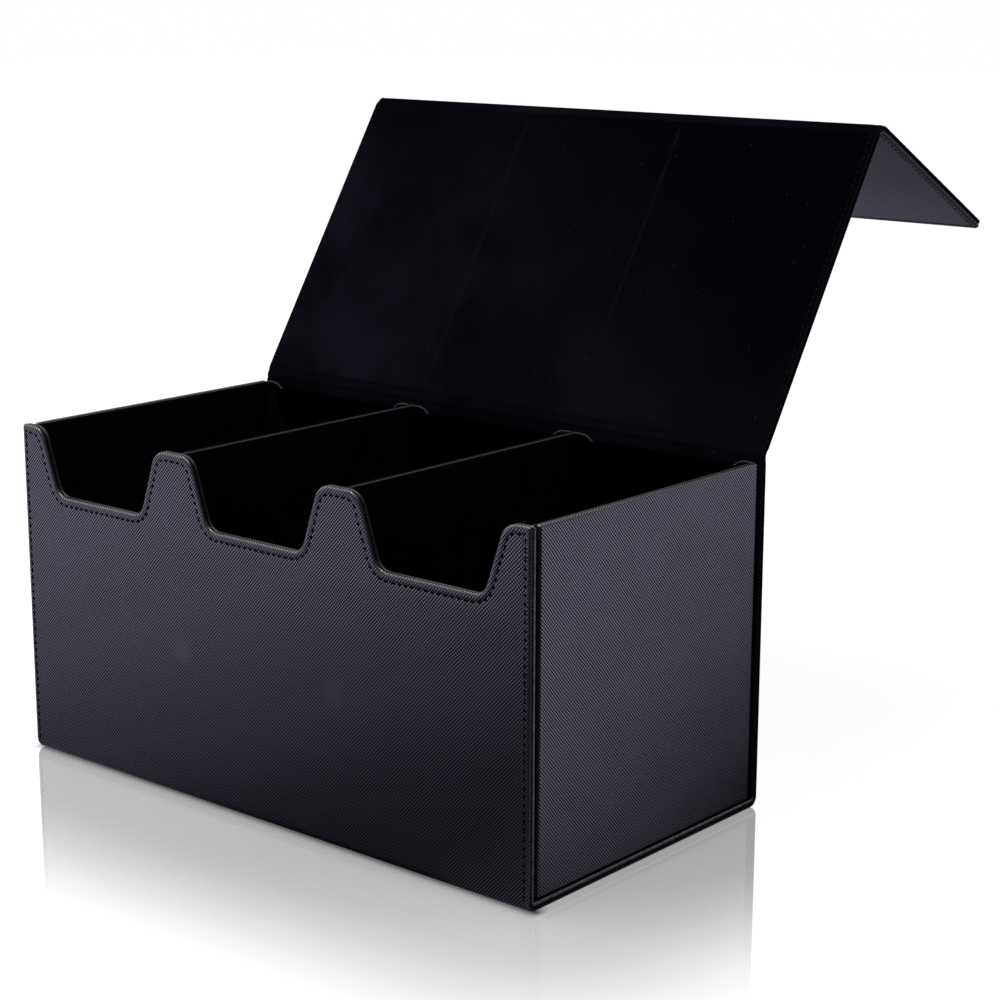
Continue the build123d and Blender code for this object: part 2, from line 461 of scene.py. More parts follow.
@dataclass(frozen=True)
class GreyBoard(Finish):
    """Pressed grey bookbinding board with paper fibres."""

    dark: Colour = (0.3, 0.28, 0.25, 1.0)
    pale: Colour = (0.5, 0.48, 0.44, 1.0)

    def paint(self, wiring: Wiring) -> dict[str, object]:
        """Tone is the mean of fine fibres and wide clouds, both noise.

        Args:
            wiring: Adds nodes to the material's tree.

        Returns:
            The shader's inputs.
        """
        place = wiring.spot()
        fibres = wiring.noise(place, 900.0, 4.0, 0.65)
        tone = wiring.times(wiring.math("ADD", fibres, wiring.noise(place, 90.0)), 0.5)
        return {
            "Base Color": wiring.blend(tone, self.dark, self.pale),
            "Roughness": wiring.span(fibres, 0.2, 0.8, 0.8, 0.95),
            "Normal": wiring.bump(fibres, 0.06),
        }


@dataclass(frozen=True)
class NickelPlate(Finish):
    """Brushed nickel plating of the magnets."""

    dark: Colour = (0.5, 0.49, 0.47, 1.0)
    pale: Colour = (0.66, 0.65, 0.62, 1.0)
    drawn: Spot = (0.06, 1.0, 1.0)

    def paint(self, wiring: Wiring) -> dict[str, object]:
        """Brushing is noise drawn out along X.

        Args:
            wiring: Adds nodes to the material's tree.

        Returns:
            The shader's inputs.
        """
        lines = wiring.noise(wiring.vector("MULTIPLY", wiring.spot(), self.drawn), 2400.0)
        return {
            "Base Color": wiring.blend(lines, self.dark, self.pale),
            "Roughness": wiring.span(lines, 0.2, 0.8, 0.22, 0.38),
            "Normal": wiring.bump(lines, 0.01),
            "Metallic": 1.0,
        }


COVER_LEATHER = TwillLeather("twill_leather_cover")
FRONT_LEATHER = replace(COVER_LEATHER, name="twill_leather_front", marks=((-44.0, 84.8), (44.0, 84.8)))
FLAP_LEATHER = replace(COVER_LEATHER, name="twill_leather_flap", presence=0.35, crest=(0.024, 0.023, 0.034, 1.0))
HINGE_LEATHER = replace(COVER_LEATHER, name="twill_leather_hinge", presence=0.16)
SIDE_LEATHER = replace(COVER_LEATHER, name="twill_leather_side", presence=0.87, rib_from=-0.13,
                       strong=(0.676, 0.613), weak=(0.57, -0.71))
BOUND_EDGE = BoundEdge("lining_edge")
SUEDE = Suede("black_suede")
# The cover's suede has a dimmer painted edge highlight
DARK_SUEDE = replace(SUEDE, name="black_suede_cover", wear_and_highlight=(0.006, 0.006, 0.008, 1.0))
THREAD = Thread("black_thread")
GREY_BOARD = GreyBoard("pressed_board")
NICKEL = NickelPlate("nickel_plate")


def grid_faces(rows: int, columns: int, closed: bool) -> list[list[int]]:
    """Quads between neighbouring rows and columns of a grid that is numbered row by row.

    Args:
        rows: Number of rows.
        columns: Number of columns.
        closed: Whether the last column joins the first.

    Returns:
        The quads.
    """
    row, column = np.meshgrid(np.arange(rows - 1), np.arange(columns if closed else columns - 1), indexing="ij")
    after = (column + 1) % columns
    quads = np.stack([row * columns + column, row * columns + after,
                      (row + 1) * columns + after, (row + 1) * columns + column], axis=-1)
    return quads.reshape(-1, 4).tolist()


def end_faces(rows: int, columns: int) -> list[list[int]]:
    """The first and the last row of such a grid, as one face each."""
    return [list(range(columns)), list(range((rows - 1) * columns, rows * columns))]


def run_of(line: Array) -> Array:
    """Distance along a line at each of its points: the sum of the steps before it."""
    return np.concatenate([[0.0], np.cumsum(np.linalg.norm(np.diff(line, axis=0), axis=1))])


def both(half: Array, sign: Array | float = 1.0) -> Array:
    """One half of a section followed by its mirror image, walked backwards and multiplied by a sign."""
    return np.concatenate([half, half[::-1] * sign])


@dataclass
class Surface:
    """Points with their cloth coordinates, edge band and faces, before they become a mesh."""

    points: Array
    cloth: Array
    band: Array
    faces: list[list[int]]
    finish: list[int]

    @staticmethod
    def joined(parts: Iterable["Surface"]) -> "Surface":
        """Several surfaces in one, as loose shells.

        Args:
            parts: The surfaces.

        Returns:
            One surface.
        """
        kept = list(parts)
        starts = np.cumsum([0] + [len(part.points) for part in kept])
        arrays = ([getattr(part, name) for part in kept] for name in ("points", "cloth", "band"))
        faces = [[index + start for index in face] for part, start in zip(kept, starts) for face in part.faces]
        return Surface(*map(np.concatenate, arrays), faces, [which for part in kept for which in part.finish])

    @staticmethod
    def swept(section: Array, flat: Array, band: Array, along: Array, finish: list[int], ends: int) -> "Surface":
        """A closed section carried straight along the second coordinate, with both ends closed.

        Args:
            section: Points of the section, as first and third coordinates.
            flat: Place of each point across the flat cloth.
            band: Edge band of each point.
            along: Distances, one for each cross-section.
            finish: Finish of each side of the section.
            ends: Finish of both ends.

        Returns:
            A closed surface.
        """
        sections, count = len(along), len(section)
        across, height = np.tile(section, (sections, 1)).T
        far = np.repeat(along, count)
        cloth = np.stack([np.tile(flat, sections), far], axis=1)
        faces = grid_faces(sections, count, True) + end_faces(sections, count)
        return Surface(np.stack([across, far, height], axis=1), cloth, np.tile(band, sections), faces,
                       finish * (sections - 1) + [ends] * 2)

    def placed(self, placing: Placing) -> "Surface":
        """The same surface with its points moved by a function of all points at once."""
        return replace(self, points=placing(self.points))

    def piece(self, name: str, finishes: list[Finish], slot: Slot) -> bpy.types.Object:
        """Makes the mesh object, with outward normals, smooth faces and sharp corners.

        Args:
            name: The piece's name.
            finishes: The finishes that the faces' numbers stand for.
            slot: The record's slot of the piece; not used.

        Returns:
            The object, at the origin, in metres.
        """
        mesh = bpy.data.meshes.new(name)
        mesh.from_pydata((self.points * MM).tolist(), [], self.faces)
        corner = np.empty(len(mesh.loops), np.int32)
        mesh.loops.foreach_get("vertex_index", corner)
        mesh.uv_layers.new(name=CLOTH_MAP).data.foreach_set("uv", self.cloth[corner].astype(np.float32).ravel())
        mesh.attributes.new(BAND, "FLOAT", "POINT").data.foreach_set("value", self.band.astype(np.float32))
        mesh.polygons.foreach_set("material_index", np.array(self.finish, np.int32))
        work = bmesh.new()
        work.from_mesh(mesh)
        bmesh.ops.remove_doubles(work, verts=work.verts, dist=MERGE)
        bmesh.ops.dissolve_degenerate(work, edges=work.edges, dist=MERGE)
        bmesh.ops.recalc_face_normals(work, faces=work.faces)
        work.to_mesh(mesh)
        work.free()
        mesh.polygons.foreach_set("use_smooth", np.ones(len(mesh.polygons), bool))
        mesh.set_sharp_from_angle(angle=SHARP_ANGLE)
        for finish in finishes:
            mesh.materials.append(finish.material())
        made = bpy.data.objects.new(name, mesh)
        bpy.context.scene.collection.objects.link(made)
        log.info("%s: %d faces", name, len(mesh.polygons))
        return made

    def stand_in(self, node: str, finishes: list[Finish], slot: Slot) -> bpy.types.Object:
        """Makes the piece that is seen in place of a CAD node.

        Args:
            node: The node's name.
            finishes: The finishes that the faces' numbers stand for.
            slot: The record's slot of the piece.

        Returns:
            The piece.
        """
        made = self.piece(f"{node}_sheet", finishes, slot)
        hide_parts(node)
        return made


@dataclass
class Outline:
    """A path on flat cloth with its inward normals; sharp outer corners inset to a mitre."""

    points: Array
    normals: Array
    limit: Array
    mitre: Array
    closed: bool = False

    @staticmethod
    def rounded(corners: list[Flat], radii: list[float], step: float, closed: bool = False) -> "Outline":
        """A polyline whose corners are replaced by arcs that touch both sides; inside lies to the right of the way.

        Args:
            corners: Corners in order; a closed path starts and ends at the same point of a straight side.
            radii: One radius for each corner between the first and the last.
            step: Longest straight piece.
            closed: Whether the path closes on itself.

        Returns:
            The outline, where a closed one goes without its doubled last point.
        """
        spots = np.array(corners, float)
        way = np.diff(spots, axis=0)
        way /= np.linalg.norm(way, axis=1)[:, None]
        inward = np.stack([way[:, 1], -way[:, 0]], axis=1)
        cosine = (way[:-1] * way[1:]).sum(1)
        turn = np.arctan2(way[:-1, 0] * way[1:, 1] - way[:-1, 1] * way[1:, 0], cosine)
        reach = (np.array(radii) * np.tan(np.abs(turn) / 2))[:, None]
        begins = np.concatenate([spots[:1], spots[1:-1] + way[1:] * reach])
        ends = np.concatenate([spots[1:-1] - way[:-1] * reach, spots[-1:]])
        mitre = (inward[:-1] + inward[1:]) / (1.0 + cosine)[:, None]
        parts = []
        for index, (begin, end) in enumerate(zip(begins, ends)):
            last = index == len(turn)
            count = max(1, math.ceil(np.linalg.norm(end - begin) / step))
            share = np.linspace(0.0, 1.0, count + 1)[int(index > 0):count + int(last), None]
            line = begin + (end - begin) * share
            normal = np.broadcast_to(inward[index], line.shape)
            parts.append((line, normal, np.full(len(line), NO_LIMIT), np.zeros_like(line)))
            if last:
                break
            radius, angle = radii[index], turn[index]
            convex = angle < 0
            towards = radius if convex else -radius
            part = np.linspace(0.0, angle, max(3, math.ceil(abs(angle) / ARC_STEP)) + 1)[:, None]
            beside = inward[index] @ np.array([[0.0, 1.0], [-1.0, 0.0]])
            turned = inward[index] * np.cos(part) + beside * np.sin(part)
            arc = end + inward[index] * towards - turned * towards
            limit = np.full(len(part), radius if convex else NO_LIMIT)
            parts.append((arc, turned, limit, np.broadcast_to(mitre[index], arc.shape)))
        points, normals, limits, mitres = (np.concatenate(blocks) for blocks in zip(*parts))
        fresh = np.concatenate([[True], np.diff(run_of(points)) > HAIR])
        fresh[-1] &= not closed
        return Outline(points[fresh], normals[fresh], limits[fresh], mitres[fresh], closed)

    def flipped(self) -> "Outline":
        """The outline with its second coordinate turned round, so that height becomes distance along the cover."""
        turn = np.array([1.0, -1.0])
        return replace(self, points=self.points * turn, normals=self.normals * turn, mitre=self.mitre * turn)

    def inset(self, distance: Array) -> Array:
        """Points moved inwards: along the normal up to the corner's own radius, then along its mitre.

        Args:
            distance: Distances, as rows by points.

        Returns:
            Points as rows by points by two.
        """
        along = np.minimum(distance, self.limit)[..., None] * self.normals
        beyond = np.maximum(distance - self.limit, 0.0)[..., None] * self.mitre
        return self.points + along + beyond


def arc_rows(radius: float, degrees: Iterable[float], bands: Iterable[float]) -> list[Row]:
    """Rows of a rounded edge: the inset is radius x (1 - sine), and the depth radius x (1 - cosine)."""
    angles = np.radians(degrees)
    return list(zip(radius * (1.0 - np.sin(angles)), radius * (1.0 - np.cos(angles)), bands))


@dataclass
class EdgeRows:
    """Rows of an edge's section, from the outside face round the edge to the inside face."""

    inset: Array
    depth: Array
    flat: Array
    band: Array
    finish: list[int]

    @staticmethod
    def of(rows: list[Row], finish: list[int] | None = None) -> "EdgeRows":
        """Rows with their place on the flat cloth, which runs on by the section's own length.

        Args:
            rows: Inset, depth and band of each row; an inset may be an array, with one for each point of a path.
            finish: Finish of each stretch between two rows; they all have the first one if it is left out.

        Returns:
            The section's rows.
        """
        insets, depths, bands = zip(*rows)
        inset = np.stack(np.broadcast_arrays(*map(np.atleast_1d, insets)))
        depth = np.array(depths)[:, None]
        steps = np.hypot(np.diff(inset, axis=0), np.diff(depth, axis=0))
        flat = inset[0] - np.concatenate([np.zeros((1, inset.shape[1])), np.cumsum(steps, axis=0)])
        return EdgeRows(inset, depth, flat, np.array(bands), finish or [0] * (len(rows) - 1))

    def cut(self, shape: Outline | Array, half_width: float) -> Surface:
        """The sheet that an outline bounds, or a strip of so wide a half along a row of distances."""
        return self.carried(shape) if isinstance(shape, Outline) else self.strip(half_width, shape)

    def carried(self, outline: Outline) -> Surface:
        """The section carried along an outline, with both flat faces and any cut end closed.

        Args:
            outline: The path on the flat cloth.

        Returns:
            A closed surface in cloth coordinates with depth as its third.
        """
        rows, count = len(self.depth), len(outline.points)
        wide, depth, flat = (np.broadcast_to(part, (rows, count)) for part in (self.inset, self.depth, self.flat))
        points = np.concatenate([outline.inset(wide), depth[..., None]], axis=-1).reshape(-1, 3)
        faces = grid_faces(rows, count, outline.closed) + end_faces(rows, count)
        columns = count if outline.closed else count - 1
        finish = [which for which in self.finish for _ in range(columns)] + [self.finish[0], self.finish[-1]]
        if not outline.closed:
            firsts = list(range(0, rows * count, count))
            faces.append(firsts + [first + count - 1 for first in reversed(firsts)])
            finish.append(self.finish[-1])
        return Surface(points, outline.inset(flat).reshape(-1, 2), np.repeat(self.band, count), faces, finish)

    def strip(self, half_width: float, along: Array) -> Surface:
        """The section on both long sides of a strip, carried straight along it, with both ends closed.

        Args:
            half_width: Half of the strip's width.
            along: Distances along the cover, one for each cross-section.

        Returns:
            A closed surface in cloth coordinates with depth as its third.
        """
        across, flat = (both(half_width - part[:, 0], -1.0) for part in (self.inset, self.flat))
        section = np.stack([across, both(self.depth[:, 0])], axis=1)
        inner, outer = self.finish[-1], self.finish[0]
        ring = self.finish + [inner] + self.finish[::-1] + [outer]
        return Surface.swept(section, flat, both(self.band), along, ring, inner)


@dataclass(frozen=True)
class CoverSizes:
    """Driving sizes of the box and its cover, in millimetres and degrees."""

    width: float = 290.0
    depth: float = 151.8
    height: float = 149.8
    leather: float = 0.8
    board: float = 1.6
    lining: float = 1.2
    fold_inside: float = 0.7
    edge_round: float = 1.2
    hinge_gap: float = 4.0
    lid_clearance: float = 0.3
    flap_clearance: float = 0.4
    flap_length: float = 103.0
    lid_lean: float = 32.3
    flap_fold: float = 86.4
    side_inset: float = 0.3
    rows: int = 3
    row_margin: float = 2.0
    hump_width: float = 21.5
    cutout_depth: float = 29.5
    cutout_taper: float = 10.0
    cutout_round: float = 7.0
    hump_round: float = 8.5
    front_corner: float = 1.5
    flap_corner: float = 3.0
    wall_drop: float = 0.4
    channel: float = 2.6
    foot_channel: float = 0.8
    suede: float = 0.7
    divider_board: float = 1.6
    stitch_inset: float = 3.5
    side_stitch_inset: float = 2.4
    stitch_pitch: float = 3.36
    turned_in: float = 0.84
    hump_step: float = 9.0
    plain_step: float = 12.0

    @property
    def tray(self) -> float:
        """Thickness of leather and board."""
        return self.leather + self.board

    @property
    def panel(self) -> float:
        """Thickness of the whole cover."""
        return self.tray + self.lining

    @property
    def fold(self) -> float:
        """Outer radius of the cover's folds."""
        return self.fold_inside + self.panel

    @property
    def half_width(self) -> float:
        """Half of the box's width."""
        return self.width / 2

    @property
    def side_face(self) -> float:
        """How far the side walls' faces stand from the middle."""
        return self.half_width - self.side_inset

    @property
    def row_pitch(self) -> float:
        """Distance between the middles of two rows."""
        return (self.width - 2 * self.row_margin) / self.rows

    @property
    def wall_top(self) -> float:
        """Height of the inner walls' tops."""
        return self.height - self.wall_drop

    @property
    def rear_face(self) -> float:
        """Where the rear panel's front face stands along Y."""
        return self.depth / 2 - self.panel - self.suede - self.board

    @property
    def hinge_height(self) -> float:
        """Height of the lid's hinge axis."""
        return self.height + self.lid_clearance + self.panel / 2

    @property
    def lid_length(self) -> float:
        """Length of the lid's stiff part."""
        return self.depth + self.flap_clearance - 2 * self.hinge_gap

    def humped(self, top: float, floor: float, bottom: float) -> Outline:
        """A wall's outline from foot to foot, with one tapered cut-out in its upper edge for each row.

        Args:
            top: Height of the hump tops.
            floor: Height of the cut-outs' floors.
            bottom: Height of the wall's foot.

        Returns:
            The outline.
        """
        mouth = (self.row_pitch - self.hump_width) / 2
        corners = [(-self.half_width, bottom), (-self.half_width, top)]
        for row in range(self.rows):
            middle = (row - (self.rows - 1) / 2) * self.row_pitch
            corners += [(middle - mouth, top), (middle - mouth + self.cutout_taper, floor),
                        (middle + mouth - self.cutout_taper, floor), (middle + mouth, top)]
        corners += [(self.half_width, top), (self.half_width, bottom)]
        cutout = [self.hump_round, self.cutout_round, self.cutout_round, self.hump_round]
        return Outline.rounded(corners, [self.front_corner, *cutout * self.rows, self.front_corner], self.hump_step)


class Stretch(Enum):
    """Stretches of the cover, in order from the front wall's top edge to the flap's free edge."""

    FRONT = 0
    FRONT_FOLD = 1
    BASE = 2
    BACK_FOLD = 3
    BACK = 4
    LID_HINGE = 5
    LID = 6
    FLAP_HINGE = 7
    FLAP = 8


def ahead_of(heading: Array | float) -> Array:
    """The way ahead at a heading."""
    return np.stack([np.cos(heading), np.sin(heading)], axis=-1)


def left_of(heading: Array | float) -> Array:
    """The way to the left of a heading."""
    return np.stack([-np.sin(heading), np.cos(heading)], axis=-1)


@dataclass
class CoverPath:
    """The line that the cover follows in the YZ plane: straight stretches and arcs, inside on the left."""

    sizes: CoverSizes
    starts: Array = field(init=False)
    lengths: Array = field(init=False)
    places: Array = field(init=False)
    headings: Array = field(init=False)
    radii: Array = field(init=False)
    turns: Array = field(init=False)

    def __post_init__(self) -> None:
        """Walks along the stretches: a positive radius bends to the inside, and hinges bend to the outside."""
        size, quarter = self.sizes, math.pi / 2
        fold = (size.fold * quarter, quarter, size.fold)
        parts = [
            (size.height - size.fold, 0.0, 0.0), fold, (size.depth - 2 * size.fold, 0.0, 0.0), fold,
            (size.hinge_height - size.hinge_gap - size.fold, 0.0, 0.0), self.hinge_arc(size.lid_lean),
            (size.lid_length, 0.0, 0.0), self.hinge_arc(size.flap_fold),
            (size.flap_length - size.hinge_gap, 0.0, 0.0),
        ]
        self.lengths, self.turns, self.radii = (np.array(column) for column in zip(*parts))
        self.starts = np.concatenate([[0.0], np.cumsum(self.lengths)[:-1]])
        spot, heading = np.array([-size.depth / 2, size.height]), -quarter
        places, headings = [], []
        for length, turn, radius in parts:
            places.append(spot)
            headings.append(heading)
            if turn:
                spot = spot + left_of(heading) * radius - left_of(heading + turn) * radius
                heading += turn
            else:
                spot = spot + ahead_of(heading) * length
        self.places, self.headings = np.array(places), np.array(headings)

    def hinge_arc(self, degrees: float) -> Spot:
        """Length, turn and outer radius of an arc whose middle line touches both stiff parts at the hinge's gap.

        Args:
            degrees: How far the hinge is bent to the outside.

        Returns:
            The length along the middle line, the turn in radians and the radius of the outer face.
        """
        angle = math.radians(degrees)
        middle = self.sizes.hinge_gap / math.tan(angle / 2)
        return middle * angle, -angle, self.sizes.panel / 2 - middle

    def start(self, stretch: Stretch) -> float:
        """Distance along the cover where a stretch begins."""
        return float(self.starts[stretch.value])

    def end(self, stretch: Stretch) -> float:
        """Distance along the cover where a stretch ends."""
        return float(self.starts[stretch.value] + self.lengths[stretch.value])

    def place(self, points: Array) -> Array:
        """Wraps flat points onto the cover.

        A point's first coordinate is X, its second the distance along the cover, and its third the depth below
        the outer face. On a straight stretch it lies at start + heading x distance + left x depth, and on an arc
        at centre - left(angle) x (radius - depth), with the angle in proportion to the distance.

        Args:
            points: Flat points.

        Returns:
            Points in the row frame, in millimetres.
        """
        across, along, depth = points.T
        which = np.clip(np.searchsorted(self.starts, along, side="right") - 1, 0, len(self.starts) - 1)
        local = along - self.starts[which]
        turn, radius, heading = self.turns[which], self.radii[which], self.headings[which]
        left = left_of(heading)
        angle = heading + turn * local / self.lengths[which]
        straight = ahead_of(heading) * local[:, None] + left * depth[:, None]
        arc = left * radius[:, None] - left_of(angle) * (radius - depth)[:, None]
        return np.column_stack([across, self.places[which] + np.where(turn[:, None] != 0.0, arc, straight)])


@dataclass
class CoverEdges:
    """Sections of the cover's two layers at a free edge, in millimetres."""

    sizes: CoverSizes
    crown: float = 0.12
    dip: float = 0.12
    reach: float = 1.7
    round_over: float = 1.1
    lining_reach: float = 5.2

    def leather(self, band: Array | float) -> EdgeRows:
        """Leather: flat face, stitched dip, padded band, rounded edge, then a groove where it turns in.

        Args:
            band: Distance of the stitching from the edge, one for all or for each point of the path.

        Returns:
            The section's rows.
        """
        crown, dip, turn, far, back = self.crown, self.dip, self.round_over, band + self.reach, self.sizes.turned_in
        return EdgeRows.of([
            (far, 0.0, 0.0), (band + 0.9, 0.04, 0.2), (band + 0.35, 0.6 * dip, 0.4),
            (band, dip, 0.55), (band - 0.4, 0.5 * dip, 0.6),
            (turn + 0.65 * (band - turn), -0.6 * crown, 0.7), (turn + 0.3 * (band - turn), -crown, 0.8),
            (turn, -0.5 * crown, 0.9),
            # Bands from CREASE_FROM to CREASE paint shade on the back half of the rounded edge and in the groove
            *arc_rows(turn, (18.0, 36.0, 54.0, 72.0, 90.0), (1.0, CREASE_FROM, 1.3, 1.55, CREASE)),
            (0.06, 1.22, CREASE), (0.3, 1.34, CREASE), (0.74, 1.38, CREASE), (0.76, 2.3, CREASE),
            (0.78, back, CREASE), (far, back, 0.0),
        ])

    def lining(self, bound: bool) -> EdgeRows:
        """Lining: underside, a rounded bead at its edge, a slight dip, then the flat suede.

        Args:
            bound: Whether the bead has the smooth painted edge.

        Returns:
            The section's rows.
        """
        top, under, far = self.sizes.panel, self.sizes.tray + 0.02, self.lining_reach
        # Band values up to 1 along the bead place the suede's painted edge highlight
        rows = [
            (far, under, 0.0), (0.84, under, 0.3), (0.62, 2.2, 0.4), (0.34, 2.2, 0.7), (0.14, 2.45, 1.0),
            (0.08, 2.9, 1.0), (0.2, top - 0.3, 1.0), (0.5, top - 0.06, 0.9), (0.95, top + 0.02, 0.5),
            (1.5, top - 0.04, 0.2), (2.2, top - 0.14, 0.1), (3.2, top - 0.05, 0.0), (far, top, 0.0),
        ]
        return EdgeRows.of(rows, [0] + [int(bound)] * 7 + [0] * 4)


@dataclass(frozen=True)
class Stitch:
    """A short sewn stitch: a flattened rod whose middle stands a little over the cloth and whose ends dive in."""

    length: float = 2.85
    thick: float = 1.05
    flat: float = 0.38
    lift: float = 0.08
    dive: float = 8.0
    narrowing: float = 1.9
    least: float = 0.12
    sections: int = 6
    sides: int = 6

    def sewn(self, path: Array, face: Face, pitch: float) -> Surface:
        """Stitches along a line on flat cloth.

        Their depth is a fourth power along the stitch, and their section an ellipse that narrows to the ends.

        Args:
            path: Points of the line, on the flat cloth with depth.
            face: The face that shows the stitches.
            pitch: Distance between stitches.

        Returns:
            All stitches in cloth coordinates.
        """
        run = run_of(path[:, :2])
        count = max(1, int(run[-1] // pitch))
        middles = (np.arange(count) + 0.5) * run[-1] / count
        along = np.linspace(-0.5, 0.5, self.sections)
        where = middles[:, None] + along * self.length
        spine = np.stack([np.interp(where, run, column) for column in path.T], axis=-1)
        ahead = spine[:, -1, :2] - spine[:, 0, :2]
        ahead /= np.linalg.norm(ahead, axis=1)[:, None]
        beside = np.stack([-ahead[:, 1], ahead[:, 0], np.zeros(count)], axis=1)
        spine[..., 2] += face.value * self.thick * (self.lift - self.dive * along ** 4)
        around = np.linspace(0.0, math.tau, self.sides + 1)[:-1]
        girth = 0.5 * self.thick * np.sqrt(np.clip(1.0 - (self.narrowing * along) ** 2, self.least, 1.0))
        ring = np.cos(around)[:, None] * beside[:, None] + np.sin(around)[:, None] * np.array([0.0, 0.0, self.flat])
        points = spine[:, :, None] + girth[:, None, None] * ring[:, None]
        cloth = np.stack(np.broadcast_arrays(where[:, :, None], around * girth.max()), axis=-1)
        size = self.sections * self.sides
        starts = np.arange(0, count * size, size)[:, None, None]
        faces = []
        for one in (grid_faces(self.sections, self.sides, True), end_faces(self.sections, self.sides)):
            faces += (np.array(one) + starts).reshape(-1, len(one[0])).tolist()
        return Surface(points.reshape(-1, 3), cloth.reshape(-1, 2), np.zeros(count * size), faces, [0] * len(faces))


@dataclass(frozen=True)
class Sheet:
    """One stiff part of the cover: its cut is an outline, or distances along a strip."""

    name: str
    body: Body
    cut: Outline | Array
    leather: Finish
    lining: Finish
    bound: bool = False


